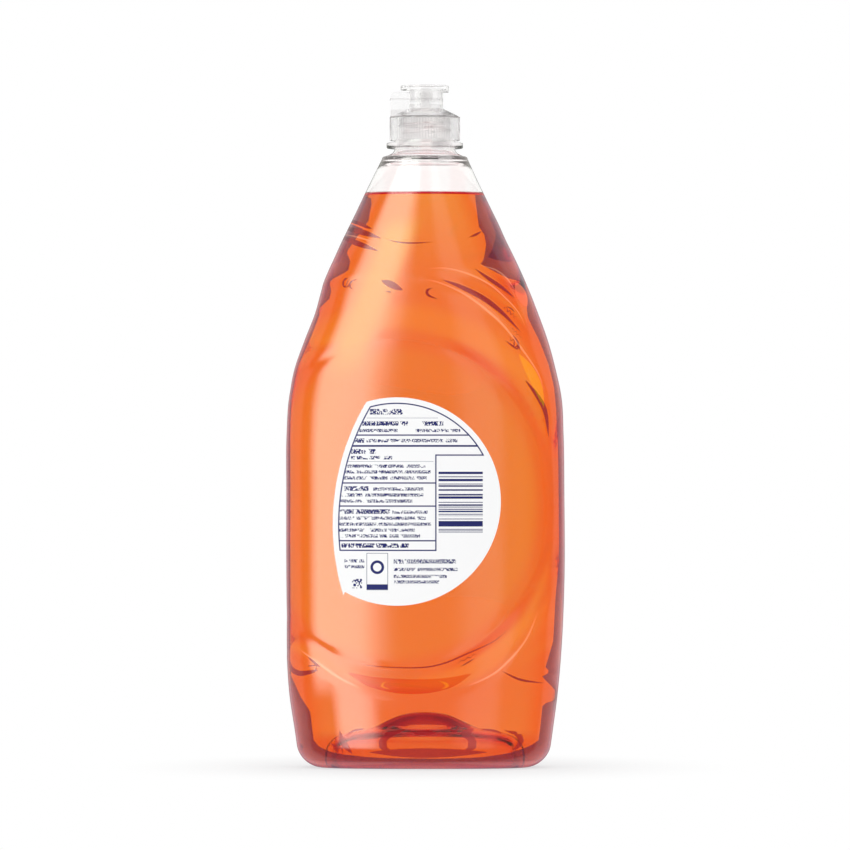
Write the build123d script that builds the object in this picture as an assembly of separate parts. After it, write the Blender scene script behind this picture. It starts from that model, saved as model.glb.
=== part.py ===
from build123d import *
import math
import os

# A blown clear bottle of dish soap with a screw-on flip-top closure.
# Millimetres. +Z is up, the origin is the centre of the foot, -Y is the labelled side
# and the closure's hinge is at -X.

# Driving dimensions of the bottle body
BODY_WIDTH = 117.2
BODY_DEPTH = 63.5
COLLAR_HEIGHT = 256.4
COLLAR_RADIUS = 18.0
WALL = 0.9
HEEL_RADIUS = 9.5
CROWN_RISE = 1.2
CROWN_FOOT_DEPTH = 2.0
CROWN_CLEARANCE = 0.05
PUSH_UP_LENGTH = 78.0
PUSH_UP_WIDTH = 31.0
PUSH_UP_HEIGHT = 23.2

# Label panel, sunk in both broad faces, and the swept ridge round it
PANEL_CENTRE_X = -11.9
PANEL_CENTRE_Z = 110.5
PANEL_WIDTH = 124.6
PANEL_HEIGHT = 137.0
PANEL_DEPTH = 1.6
PANEL_SIDE_STEP = 0.5
SWEEP_DEPTH = 0.6
SWEEP_SIDE_STEP = 0.2

# Neck finish
NECK_RADIUS = 12.7
NECK_BORE_RADIUS = 10.9
NECK_TOP = 272.2
NECK_FLARE_RISE = 1.3
NECK_FLARE_RADIUS = 13.7
NECK_FLARE_FILLET = 1.0
RING_RADIUS = 16.0
RING_BOTTOM = 259.8
RING_THICKNESS = 2.2
RING_EDGE_RADIUS = 0.35
LIP_EDGE_RADIUS = 0.4
THREAD_PITCH = 2.95
THREAD_HEIGHT = 0.75
THREAD_ROOT_WIDTH = 1.5
THREAD_CREST_WIDTH = 0.6
THREAD_TURNS = 1.5
THREAD_START_HEIGHT = 266.2
THREAD_START_ANGLE = -142.0

# Contents and label
FILL_LEVEL = 241.0
LIQUID_CLEARANCE = 0.2
LABEL_RADIUS = 43.3
LABEL_CENTRE_X = -11.7
LABEL_CENTRE_Z = 111.7
LABEL_THICKNESS = 0.15
LABEL_GLUE = 0.05

# Closure
SKIRT_RADIUS = 14.75
SKIRT_BOTTOM = 263.1
SKIRT_TOP = 272.9
SKIRT_BORE_RADIUS = 13.75
KNURL_COUNT = 144
KNURL_DEPTH = 0.22
SHOULDER_RADIUS = 13.4
SHOULDER_BASE = 273.6
CHIMNEY_RADIUS = 7.6
CHIMNEY_FOOT = 276.5
CHIMNEY_WALL = 1.0
PARTING_HEIGHT = 280.35
PARTING_GAP = 0.1
DECK_THICKNESS = 1.2
SPOUT_RADIUS = 3.4
SPOUT_TOP = 283.2
ORIFICE_RADIUS = 1.9
SEAL_RADIUS = 10.8
SEAL_WALL = 0.9
SEAL_LENGTH = 3.0
LIP_GAP = 0.1
HINGE_REACH = 14.4
HINGE_WIDTH = 9.0
HINGE_TOP = 283.35
HINGE_PIN_RADIUS = 0.3
HINGE_PIN_LENGTH = 7.0
HINGE_CLEARANCE = 0.06
LID_RADIUS = 10.1
LID_BOTTOM = 284.35
LID_TOP = 286.1
LID_EDGE_RADIUS = 0.5
LID_LIP_LENGTH = 2.4
LID_LIP_DROP = 0.9
PLUG_TIP_HEIGHT = 281.6
PLUG_CLEARANCE = 0.08
PLUG_TAPER = 0.2

# How far a cut runs past its face, and how far fused forms run into each other
OVERRUN = 1.0

# The body's outline: share of the collar height, then the left and right shares of the half width,
# the share of the half depth, and the squareness of the plan (2 is an ellipse)
STATIONS = [
    (0.000, 0.896, 0.880, 0.860, 2.50),
    (0.055, 0.928, 0.914, 0.910, 2.50),
    (0.117, 0.969, 0.950, 0.950, 2.50),
    (0.195, 0.991, 0.980, 0.985, 2.50),
    (0.300, 0.999, 1.000, 1.000, 2.50),
    (0.448, 1.000, 1.000, 1.000, 2.50),
    (0.546, 0.998, 0.994, 0.998, 2.50),
    (0.605, 0.981, 0.980, 0.990, 2.48),
    (0.651, 0.942, 0.938, 0.975, 2.44),
    (0.696, 0.872, 0.885, 0.950, 2.38),
    (0.741, 0.793, 0.815, 0.910, 2.30),
    (0.798, 0.718, 0.715, 0.845, 2.20),
    (0.837, 0.642, 0.636, 0.792, 2.15),
    (0.863, 0.590, 0.580, 0.757, 2.11),
    (0.889, 0.534, 0.529, 0.722, 2.08),
    (0.915, 0.479, 0.473, 0.688, 2.06),
    (0.942, 0.423, 0.416, 0.650, 2.04),
    (0.968, 0.367, 0.362, 0.606, 2.02),
]
PLAN_POINTS = 32

# The push-up's bell from its top to its foot: shares of the half length and of the height
PUSH_UP_BELL = [
    (0.00, 1.00),
    (0.25, 0.94),
    (0.40, 0.82),
    (0.54, 0.71),
    (0.72, 0.65),
    (0.87, 0.56),
    (0.97, 0.33),
    (1.00, 0.00),
]

# The swept ridge on the broad faces, as points about the panel's centre
SWEEP_POINTS = [
    (3.8, -79.4),
    (37.0, -74.0),
    (51.7, -60.1),
    (64.7, -35.7),
    (68.1, -11.0),
    (65.5, 31.5),
    (60.5, 51.6),
    (54.2, 63.0),
    (46.2, 73.5),
    (31.1, 85.5),
    (14.3, 92.4),
    (-6.3, 94.5),
    (-27.7, 91.9),
    (-58.0, 74.0),
    (-68.0, 4.5),
    (-58.0, -56.0),
    (-32.3, -68.5),
    (-21.0, -74.4),
]

# The label's cut side, as three points of an arc about the label's centre
LABEL_CUT = [(-12.5, 41.6), (-26.6, -8.0), (-22.2, -39.0)]


def plan_section(height, left, right, depth, squareness):
    """One level of the body: a rounded oval whose two sides may differ."""
    points = []
    for i in range(PLAN_POINTS):
        turn = 2 * math.pi * i / PLAN_POINTS
        across, along = math.cos(turn), math.sin(turn)
        reach = right if across >= 0 else left
        power = 2 / squareness
        x = math.copysign(abs(across) ** power, across) * reach
        y = math.copysign(abs(along) ** power, along) * depth
        points.append((x, y, height))
    return Face(Wire([Edge.make_spline([Vector(*p) for p in points], periodic=True)]))


def blank(inset, side_inset=None):
    """The body with no relief, set in by a wall, or by less at its two narrow sides."""
    if side_inset is None:
        side_inset = inset
    sections = []
    for share, left, right, depth, squareness in STATIONS:
        sections.append(plan_section(
            max(share * COLLAR_HEIGHT, side_inset),
            left * BODY_WIDTH / 2 - side_inset,
            right * BODY_WIDTH / 2 - side_inset,
            depth * BODY_DEPTH / 2 - inset,
            squareness,
        ))
    collar = COLLAR_RADIUS - side_inset
    sections.append(plan_section(COLLAR_HEIGHT - CROWN_RISE - side_inset, collar, collar, collar, 2))
    body = loft(sections)
    heel = body.edges().sort_by(Axis.Z)[0]
    return fillet(heel, HEEL_RADIUS - side_inset)


def through_body(face):
    """A face drawn in the X-Z plane, pushed through the whole depth of the body."""
    return extrude(face, BODY_DEPTH, both=True)


def panel_prism(inset):
    """The label panel's edge, widened by the wall that it is seen through."""
    outline = Ellipse(PANEL_WIDTH / 2 + inset, PANEL_HEIGHT / 2 + inset)
    return through_body(Plane.XZ * Pos(PANEL_CENTRE_X, PANEL_CENTRE_Z) * outline)


def sweep_prism(inset):
    """The swept ridge round the panel, widened in the same way."""
    points = []
    for x, z in SWEEP_POINTS:
        grow = 1 + inset / math.hypot(x, z)
        points.append((x * grow, z * grow))
    outline = make_face(Spline(*points, periodic=True))
    return through_body(Plane.XZ * Pos(PANEL_CENTRE_X, PANEL_CENTRE_Z) * outline)


def push_up(inset):
    """The dome pressed up into the base."""
    half_length = PUSH_UP_LENGTH / 2 + inset
    half_width = PUSH_UP_WIDTH / 2 + inset
    height = PUSH_UP_HEIGHT + inset
    points = [(half_length * out, height * up) for out, up in PUSH_UP_BELL]
    bell = Spline(*points, tangents=[(1, 0), (0, -1)])
    side = Polyline(bell @ 1, (half_length, -OVERRUN), (0, -OVERRUN), bell @ 0)
    dome = revolve(Plane.XZ * make_face(bell + side), Axis.Z)
    return scale(dome, (1, half_width / half_length, 1))


def body_form(inset):
    """The body with its panels, ridge and push-up, set in by a wall."""
    form = blank(inset)
    form -= sweep_prism(inset) - blank(inset + SWEEP_DEPTH, inset + SWEEP_SIDE_STEP)
    form -= panel_prism(inset) - blank(inset + PANEL_DEPTH, inset + PANEL_SIDE_STEP)
    return form - push_up(inset)


def neck():
    """The neck with its rounded crown, flare, support ring and lip, solid."""
    crown_radius = COLLAR_RADIUS - CROWN_CLEARANCE
    shoulder = COLLAR_HEIGHT - CROWN_RISE
    flare = COLLAR_HEIGHT + NECK_FLARE_RISE
    crown = RadiusArc((crown_radius, shoulder), (crown_radius - CROWN_RISE, COLLAR_HEIGHT), -CROWN_RISE)
    rest = Polyline(
        crown @ 1,
        (NECK_FLARE_RADIUS, flare),
        (NECK_RADIUS, flare + NECK_FLARE_FILLET),
        (NECK_RADIUS, NECK_TOP),
        (0, NECK_TOP),
        (0, shoulder - CROWN_FOOT_DEPTH),
        (crown_radius, shoulder - CROWN_FOOT_DEPTH),
        crown @ 0,
    )
    stem = revolve(Plane.XZ * make_face(crown + rest), Axis.Z)
    ring = Pos(0, 0, RING_BOTTOM) * Cylinder(
        RING_RADIUS, RING_THICKNESS, align=(Align.CENTER, Align.CENTER, Align.MIN)
    )
    ring = fillet(ring.edges().filter_by(GeomType.CIRCLE), RING_EDGE_RADIUS)
    lip = stem.edges().filter_by(GeomType.CIRCLE).sort_by(Axis.Z)[-1]
    return fillet(lip, LIP_EDGE_RADIUS) + ring


def neck_thread():
    """The raised helical thread that the closure turns on."""
    height = THREAD_TURNS * THREAD_PITCH
    path = Helix(THREAD_PITCH, height, NECK_RADIUS)
    root, crest = THREAD_ROOT_WIDTH / 2, THREAD_CREST_WIDTH / 2
    sunk = THREAD_HEIGHT / 3
    profile = Polygon(
        (-sunk, -root), (0, -root), (THREAD_HEIGHT, -crest),
        (THREAD_HEIGHT, crest), (0, root), (-sunk, root),
        align=None,
    )
    section = Plane(origin=path @ 0, x_dir=(1, 0, 0), z_dir=path % 0) * profile
    ridge = sweep(section, path=path, is_frenet=True)
    return Pos(0, 0, THREAD_START_HEIGHT) * Rot(0, 0, THREAD_START_ANGLE) * ridge


def bottle():
    """The clear bottle, one blown moulding."""
    outer = body_form(0) + neck()
    bore_foot = COLLAR_HEIGHT - CROWN_RISE - CROWN_FOOT_DEPTH
    bore = Pos(0, 0, bore_foot) * Cylinder(
        NECK_BORE_RADIUS, NECK_TOP - bore_foot + OVERRUN, align=(Align.CENTER, Align.CENTER, Align.MIN)
    )
    shell = outer - body_form(WALL) - bore
    return shell + neck_thread()


def liquid():
    """The soap, up to the fill level, a film's width clear of the wall."""
    contents = body_form(WALL + LIQUID_CLEARANCE)
    surface = Pos(0, 0, FILL_LEVEL) * Box(
        BODY_WIDTH, BODY_WIDTH, BODY_WIDTH, align=(Align.CENTER, Align.CENTER, Align.MIN)
    )
    return contents - surface


def back_label():
    """The round film label with its cut side, laid in the panel on the -Y side."""
    start, middle, end = LABEL_CUT
    cut = ThreePointArc(start, middle, end)
    angle_in = math.degrees(math.atan2(start[1], start[0]))
    angle_out = math.degrees(math.atan2(end[1], end[0]))
    rim = CenterArc((0, 0), LABEL_RADIUS, angle_out, angle_in - angle_out)
    ends = [Line(cut @ 0, rim @ 1), Line(cut @ 1, rim @ 0)]
    outline = make_face([cut, rim] + ends)
    prism = extrude(Plane.XZ * Pos(LABEL_CENTRE_X, LABEL_CENTRE_Z) * outline, BODY_DEPTH)
    face_in = blank(PANEL_DEPTH - LABEL_GLUE, PANEL_SIDE_STEP - LABEL_GLUE)
    lift = LABEL_GLUE + LABEL_THICKNESS
    face_out = blank(PANEL_DEPTH - lift, PANEL_SIDE_STEP - lift)
    return (prism & face_out) - face_in


def knurled_skirt():
    """The grip ribs of the closure's skirt, as one toothed outline."""
    points = []
    for i in range(2 * KNURL_COUNT):
        turn = math.pi * i / KNURL_COUNT
        radius = SKIRT_RADIUS - KNURL_DEPTH * (i % 2)
        points.append((radius * math.cos(turn), radius * math.sin(turn)))
    return Pos(0, 0, SKIRT_BOTTOM) * extrude(make_face(Polyline(*points, close=True)), SKIRT_TOP - SKIRT_BOTTOM)


def ring_of(radius, bottom, top):
    """A plain cylinder on the closure's axis, between two heights."""
    return Pos(0, 0, bottom) * Cylinder(radius, top - bottom, align=(Align.CENTER, Align.CENTER, Align.MIN))


def hinge_block(bottom, top):
    """A block from the chimney out to the hinge line, as wide as the hinge."""
    length = HINGE_REACH - CHIMNEY_RADIUS / 2
    block = Box(length, HINGE_WIDTH, top - bottom, align=(Align.MIN, Align.CENTER, Align.MIN))
    return Pos(-HINGE_REACH, 0, bottom) * block


def hinge_pin(radius, length):
    """The living hinge's round web, on the parting line at the outer face."""
    return Pos(-HINGE_REACH, 0, PARTING_HEIGHT) * Rot(90, 0, 0) * Cylinder(radius, length)


def cap_base():
    """The screw-on part of the closure, one clear moulding."""
    outline = Polyline(
        (0, SKIRT_TOP - OVERRUN),
        (SKIRT_RADIUS - KNURL_DEPTH, SKIRT_TOP - OVERRUN),
        (SKIRT_RADIUS - KNURL_DEPTH, SKIRT_TOP),
        (SHOULDER_RADIUS, SHOULDER_BASE),
        (CHIMNEY_RADIUS, CHIMNEY_FOOT),
        (CHIMNEY_RADIUS, PARTING_HEIGHT),
        (0, PARTING_HEIGHT),
        close=True,
    )
    base = knurled_skirt() + revolve(Plane.XZ * make_face(outline), Axis.Z)
    base += hinge_block(SKIRT_TOP - OVERRUN, PARTING_HEIGHT)
    roof = NECK_TOP + LIP_GAP
    base -= ring_of(SKIRT_BORE_RADIUS, SKIRT_BOTTOM - OVERRUN, roof)
    deck_top = PARTING_HEIGHT - CHIMNEY_WALL
    base -= ring_of(CHIMNEY_RADIUS - CHIMNEY_WALL, deck_top, PARTING_HEIGHT + OVERRUN)
    base += ring_of(SPOUT_RADIUS, deck_top - DECK_THICKNESS, SPOUT_TOP)
    base -= ring_of(CHIMNEY_RADIUS - CHIMNEY_WALL, roof - OVERRUN, deck_top - DECK_THICKNESS)
    base -= ring_of(ORIFICE_RADIUS, roof - OVERRUN, SPOUT_TOP + OVERRUN)
    seal = ring_of(SEAL_RADIUS, roof - SEAL_LENGTH, roof) - ring_of(
        SEAL_RADIUS - SEAL_WALL, roof - SEAL_LENGTH - OVERRUN, roof + OVERRUN
    )
    return base + seal + hinge_pin(HINGE_PIN_RADIUS, HINGE_PIN_LENGTH)


def flip_lid():
    """The lid: disc, thumb lip, upper chimney wall, plug and its half of the hinge tower."""
    foot = PARTING_HEIGHT + PARTING_GAP
    disc = ring_of(LID_RADIUS, LID_BOTTOM, LID_TOP)
    disc = fillet(disc.edges().filter_by(GeomType.CIRCLE).sort_by(Axis.Z)[-1], LID_EDGE_RADIUS)
    wall = ring_of(CHIMNEY_RADIUS, foot, LID_BOTTOM)
    wall -= ring_of(CHIMNEY_RADIUS - CHIMNEY_WALL, foot - OVERRUN, LID_BOTTOM)
    tower = hinge_block(foot, HINGE_TOP) - ring_of(CHIMNEY_RADIUS, foot - OVERRUN, HINGE_TOP + OVERRUN)
    gap = HINGE_PIN_RADIUS + HINGE_CLEARANCE
    tower -= hinge_pin(gap, HINGE_PIN_LENGTH + 2 * HINGE_CLEARANCE)
    lip = Pos(LID_RADIUS - LID_LIP_LENGTH, 0, LID_BOTTOM - LID_LIP_DROP) * Box(
        LID_LIP_LENGTH, HINGE_WIDTH, LID_LIP_DROP, align=(Align.MIN, Align.CENTER, Align.MIN)
    )
    lip = lip & ring_of(LID_RADIUS, LID_BOTTOM - LID_LIP_DROP, LID_BOTTOM)
    plug_radius = ORIFICE_RADIUS - PLUG_CLEARANCE
    plug_length = SPOUT_TOP - PLUG_TIP_HEIGHT
    plug = ring_of(plug_radius, SPOUT_TOP, LID_BOTTOM) + Pos(0, 0, PLUG_TIP_HEIGHT) * Cone(
        plug_radius - PLUG_TAPER, plug_radius, plug_length, align=(Align.CENTER, Align.CENTER, Align.MIN)
    )
    return disc + wall + tower + lip + plug


os.makedirs("parts", exist_ok=True)
for build in (bottle, liquid, back_label, cap_base, flip_lid):
    piece = build()
    export_step(piece, f"parts/{build.__name__}.step")
    print(build.__name__, round(piece.volume / 1000, 2), "cm3")
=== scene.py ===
import math

import bpy
import numpy as np
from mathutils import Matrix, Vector


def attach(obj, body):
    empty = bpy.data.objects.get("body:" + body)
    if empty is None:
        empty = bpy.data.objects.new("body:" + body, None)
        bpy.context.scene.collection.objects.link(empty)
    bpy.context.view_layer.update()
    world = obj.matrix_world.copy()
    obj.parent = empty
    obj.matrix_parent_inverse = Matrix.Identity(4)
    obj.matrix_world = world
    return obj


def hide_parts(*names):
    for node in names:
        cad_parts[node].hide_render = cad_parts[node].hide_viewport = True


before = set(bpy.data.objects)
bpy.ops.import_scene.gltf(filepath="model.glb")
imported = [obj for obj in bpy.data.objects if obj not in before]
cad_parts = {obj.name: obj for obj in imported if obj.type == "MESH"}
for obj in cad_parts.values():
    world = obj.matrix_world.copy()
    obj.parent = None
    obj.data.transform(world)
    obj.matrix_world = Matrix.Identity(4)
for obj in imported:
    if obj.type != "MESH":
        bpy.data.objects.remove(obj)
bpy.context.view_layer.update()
bpy.ops.object.select_all(action="DESELECT")

MM = 0.001

# Bottle body, in millimetres
BODY_WIDTH = 117.2
BODY_DEPTH = 63.5
COLLAR_HEIGHT = 256.4
COLLAR_RADIUS = 18.0
CROWN_RISE = 1.2
SHOULDER_TOP = COLLAR_HEIGHT - CROWN_RISE
WALL = 0.9
HEEL_RADIUS = 9.5
HEEL_STEPS = 16
PUSH_UP = (39.0, 15.5, 23.2)

# The push-up's bell from its top to its foot: shares of the half length and of the height
PUSH_UP_BELL = np.array([
    (0.00, 1.00), (0.25, 0.94), (0.40, 0.82), (0.54, 0.71), (0.72, 0.65), (0.87, 0.56),
    (0.97, 0.33), (1.00, 0.00),
])
BELL_RINGS = 22

# Outline stations: share of the collar height, left, right and depth shares, squareness of the plan
STATIONS = np.array([
    (0.000, 0.896, 0.880, 0.860, 2.50),
    (0.055, 0.928, 0.914, 0.910, 2.50),
    (0.117, 0.969, 0.950, 0.950, 2.50),
    (0.195, 0.991, 0.980, 0.985, 2.50),
    (0.300, 0.999, 1.000, 1.000, 2.50),
    (0.448, 1.000, 1.000, 1.000, 2.50),
    (0.546, 0.998, 0.994, 0.998, 2.50),
    (0.605, 0.981, 0.980, 0.990, 2.48),
    (0.651, 0.942, 0.938, 0.975, 2.44),
    (0.696, 0.872, 0.885, 0.950, 2.38),
    (0.741, 0.793, 0.815, 0.910, 2.30),
    (0.798, 0.718, 0.715, 0.845, 2.20),
    (0.837, 0.642, 0.636, 0.792, 2.15),
    (0.863, 0.590, 0.580, 0.757, 2.11),
    (0.889, 0.534, 0.529, 0.722, 2.08),
    (0.915, 0.479, 0.473, 0.688, 2.06),
    (0.942, 0.423, 0.416, 0.650, 2.04),
    (0.968, 0.367, 0.362, 0.606, 2.02),
])

# Relief of the broad faces, about the panel's centre
PANEL_CENTRE = (-11.9, 110.5)
PANEL_HALF = (62.3, 68.5)
PANEL_DEPTH = 1.6
BAND_DEPTH = 0.45
SWEEP_EDGE = (-1.2, 1.4)
CREASE_DEPTH = 0.35
CREASE_WIDTH = 1.6
CREASE_PLACE = 0.4
SWEEP_POINTS = np.array([
    (3.8, -79.4),
    (37.0, -74.0),
    (51.7, -60.1),
    (64.7, -35.7),
    (68.1, -11.0),
    (65.5, 31.5),
    (60.5, 51.6),
    (54.2, 63.0),
    (46.2, 73.5),
    (31.1, 85.5),
    (14.3, 92.4),
    (-6.3, 94.5),
    (-27.7, 91.9),
    (-58.0, 74.0),
    (-68.0, 4.5),
    (-58.0, -56.0),
    (-32.3, -68.5),
    (-21.0, -74.4),
])

# How much of the relief the narrow sides take, and the leaf ridges past the sweep: the directions that they
# lie between, how full their bow is, and for each its distance, its width and how far it is pressed in
SIDE_SHARE = 0.3
LEAF_START = math.radians(48)
LEAF_END = math.radians(84)
LEAF_BOW = 0.7
LEAF_RIDGES = [(3.5, 2.2, -0.4), (8.0, 2.6, 0.3), (12.5, 2.6, -0.3)]

# Dark strokes of painted shade over the relief: half width, then points across and up the broad face
DARK_SHADE_STROKES = [
    (0.75, [(20.7, 209.6), (26.3, 205.5), (32.5, 201.3), (38.1, 196.7)]),
    (1.05, [(6.8, 204.9), (14.4, 202.0), (24.2, 197.1), (32.5, 190.8), (40.9, 182.1)]),
    (0.25, [(34.1, 193.6), (36.2, 192.6), (38.1, 190.8)]),
    (0.35, [(33.6, 179.3), (37.0, 176.8), (40.2, 174.5)]),
    (0.40, [(36.6, 181.9), (39.0, 178.4), (40.2, 174.5)]),
    (1.00, [(41.6, 163.3), (47.2, 156.0), (50.7, 149.0), (52.1, 137.9)]),
    (0.55, [(3.3, 201.3), (0.9, 200.2), (1.6, 198.1), (5.8, 196.4)]),
    (1.45, [(-18.3, 204.4), (-14.2, 202.7), (-9.2, 200.2)]),
    (0.20, [(-15.9, 198.1), (-13.4, 200.1), (-9.2, 200.5)]),
    (0.35, [(-31.5, 205.5), (-33.9, 204.8), (-34.2, 202.0), (-32.5, 201.3)]),
    (0.35, [(-27.7, 205.1), (-30.8, 204.0), (-31.5, 202.0), (-29.8, 200.2)]),
    (0.95, [(-34.0, 230.6), (-27.5, 228.0), (-22.0, 226.0)]),
    (1.15, [(-38.0, 224.0), (-29.0, 220.2), (-19.0, 216.6)]),
    (0.50, [(18.6, 222.5), (21.4, 223.6), (24.0, 225.1)]),
    (0.45, [(32.0, 40.5), (40.1, 36.7), (51.0, 35.1)]),
    (0.25, [(14.5, 41.7), (21.5, 45.9)]),
    (0.28, [
        (-34.4, 44.9), (-22.2, 42.4), (-3.4, 41.6), (7.5, 43.3), (16.8, 47.1), (29.2, 52.9), (37.9, 60.5),
    ]),
    (1.10, [(-57.0, 46.4), (-56.2, 41.7), (-53.0, 39.4), (-48.4, 39.8), (-43.3, 41.3)]),
    (0.60, [(-49.2, 46.4), (-43.7, 41.7)]),
]
# More dark streaks of painted shade, across the upper shoulder
SHADE_STREAKS = [
    (1.20, [(-36.0, 227.0), (-27.0, 224.8), (-18.0, 222.0)]),
    (0.34, [(-17.6, 221.9), (-10.6, 220.4), (-3.7, 220.1), (4.6, 220.7)]),
]
# Strokes of painted light: a dark tint under a warm painted glow
WARM_GLOW_STROKES = [
    (0.34, [(-33.0, 229.2), (-27.4, 227.0), (-22.0, 224.8)]),
    (2.10, [(38.2, 203.6), (40.5, 198.5), (42.8, 192.8)]),
]
# Dark red strokes of painted shade low on the broad face
RED_SHADE_STROKES = [
    (3.10, [(-33.0, 39.8), (-21.5, 35.5), (-6.0, 33.7), (9.0, 35.0), (19.8, 39.2)]),
    (1.80, [(-14.0, 34.4), (-3.0, 33.2), (8.0, 34.4)]),
]

# Painted shade: the dark reds of the raised base, as they show through the front of the heel
BASE_SHADE_PATCHES = [
    (2.50, [(-21.0, 16.4), (-11.5, 19.2), (0.0, 20.3), (11.0, 19.2), (21.2, 16.0)]),
    (1.50, [(-8.0, 15.8), (-16.2, 12.6), (-18.0, 8.8), (-14.0, 6.6)]),
    (1.50, [(10.0, 15.8), (18.4, 12.6), (20.4, 8.8), (16.0, 6.6)]),
    (1.30, [(-35.6, 14.8), (-34.4, 10.4), (-30.4, 5.4)]),
    (0.80, [(-38.4, 9.6), (-36.4, 6.2)]),
    (1.20, [(33.6, 15.4), (39.4, 13.4), (40.2, 9.8), (36.4, 6.6)]),
]
BASE_SHADE_LINES = [
    (0.50, [(-33.0, 12.6), (-29.7, 15.3), (-17.3, 17.2)]),
    (0.50, [(20.7, 16.0), (28.6, 15.3), (33.8, 13.6)]),
    (1.20, [(-5.0, 14.4), (-0.5, 14.1), (4.5, 14.4)]),
    (2.00, [(-24.0, 6.2), (0.0, 5.8), (27.0, 6.2)]),
]

# Painted highlights along thin ridges, and strokes of painted golden light
HIGHLIGHT_STROKES = [
    (0.40, [
        (-2.0, 205.0), (6.4, 203.4), (17.3, 198.3), (27.0, 191.1), (35.4, 182.7), (47.1, 166.3),
        (50.5, 156.0),
    ]),
    (0.28, [
        (-2.0, 208.7), (7.6, 209.6), (17.3, 207.5), (27.0, 202.9), (34.1, 196.8), (39.6, 190.5),
        (43.3, 182.3),
    ]),
    (0.30, [(22.5, 210.9), (29.5, 208.9), (34.5, 205.2), (38.2, 199.5)]),
    (0.60, [(-53.0, 49.6), (-45.3, 44.1), (-35.2, 37.0), (-23.6, 31.6)]),
    (0.38, [(16.8, 33.6), (24.4, 36.7), (32.3, 41.7), (42.4, 53.3), (48.6, 68.0)]),
    (0.34, [(-34.6, 223.8), (-28.4, 222.6), (-20.5, 220.2)]),
]
GOLD_GLOW_STROKES = [
    (2.00, [(39.5, 173.6), (43.6, 167.4), (47.6, 159.4), (50.2, 150.8)]),
    (0.35, [(-15.6, 36.2), (-18.4, 34.2), (-14.2, 32.4)]),
    (0.50, [(5.6, 36.2), (9.8, 34.4), (6.6, 32.4)]),
]

# Inner edges of the dark side bands of painted shade, seen from the front: height and place across
LEFT_EDGE = np.array([
    (3.0, 0.0), (5.0, -28.0), (7.0, -40.0), (10.5, -46.8), (23.9, -48.4), (30.0, -52.3),
    (38.6, -56.2), (45.0, -56.6), (53.3, -56.6), (137.3, -56.6), (145.7, -56.6), (156.2, -56.0),
    (168.8, -53.1), (180.2, -47.8), (189.8, -44.2), (192.4, -44.6), (196.1, -40.1), (199.5, -39.4),
    (204.1, -39.8), (207.9, -32.4), (212.1, -31.6), (215.9, -33.1), (228.9, -23.9), (238.1, -22.2),
    (240.2, -26.0),
])
RIGHT_EDGE = np.array([
    (3.0, 0.0), (5.0, 28.0), (6.7, 36.2), (10.9, 47.9), (17.6, 48.8), (27.3, 49.8), (28.1, 54.9),
    (32.3, 54.9), (34.0, 53.8), (38.6, 49.4), (40.5, 52.9), (42.4, 50.9), (53.3, 54.1),
    (86.9, 55.9), (141.5, 55.5), (149.1, 55.4), (159.6, 54.4), (169.3, 52.0), (178.1, 48.6),
    (188.6, 43.8), (192.9, 43.3), (204.2, 40.0), (204.7, 35.8), (210.8, 24.9), (218.8, 26.1),
    (223.0, 25.3), (226.4, 23.0), (231.8, 22.3), (239.4, 21.3),
])

# A threshold that every surface is past, so that the painted shade of the dark band covers it all
BAND_EVERYWHERE = -0.1

# A stroke on the mesh: the number where there is none, how far under nothing its half width falls at its
# tips, how far beside it its numbers are kept, the steps between two of its points, and how full its bow is
FAR = 50.0
TIP = 0.12
STROKE_MARGIN = 1.9
STROKE_STEPS = 6
STROKE_BOW = 0.8

# Neck finish
NECK_RADIUS = 12.7
BORE_RADIUS = 10.9
NECK_TOP = 272.2
NECK_RINGS = 32
LIP_EDGE = 0.4
LIP_BEVEL = 0.12
RING_RADIUS = 16.0
RING_BOTTOM = 259.8
RING_TOP = 262.0
RING_EDGE = 0.35
RING_BEVEL = 0.1

# Radius and height of the flare up to the neck, and of the bore's foot down to the shoulder's inner face
NECK_FLARE = [(15.6, 256.75), (14.4, 257.25), (13.5, 257.9), (12.95, 258.6), (NECK_RADIUS, 259.3)]
BORE_FOOT = [(11.2, 258.0), (12.1, 256.7), (13.6, 255.6), (15.4, 254.9), (16.6, 254.4)]
INNER_TOP_GAP = 1.5

# The neck's thread: its size, where it starts, and how its ends run in and out, in radians
THREAD_PITCH = 2.95
THREAD_HEIGHT = 0.75
THREAD_HALF_WIDTH = 0.72
THREAD_CREST = 0.25
THREAD_TURNS = 1.5
THREAD_START_HEIGHT = 266.2
THREAD_START_ANGLE = math.radians(-142)
THREAD_RUN_IN = 0.12
THREAD_RUN_OUT = 0.3

# Contents: the fill line, how far the soap reaches into the wall, and the meniscus as distances in from the
# wall and down from the fill line
FILL_LEVEL = 241.0
LIQUID_OVERLAP = 0.06
LAST_RING_GAP = 0.6
MENISCUS = [(0.25, 0.5), (0.7, 0.85), (1.4, 1.1), (3.0, 1.2)]
SURFACE_SHARES = (0.7, 0.4, 0.15, 0.0)
SOAP_COLOUR = (0.990, 0.695, 0.02, 1)
SOAP_DENSITY = 112.0

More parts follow.
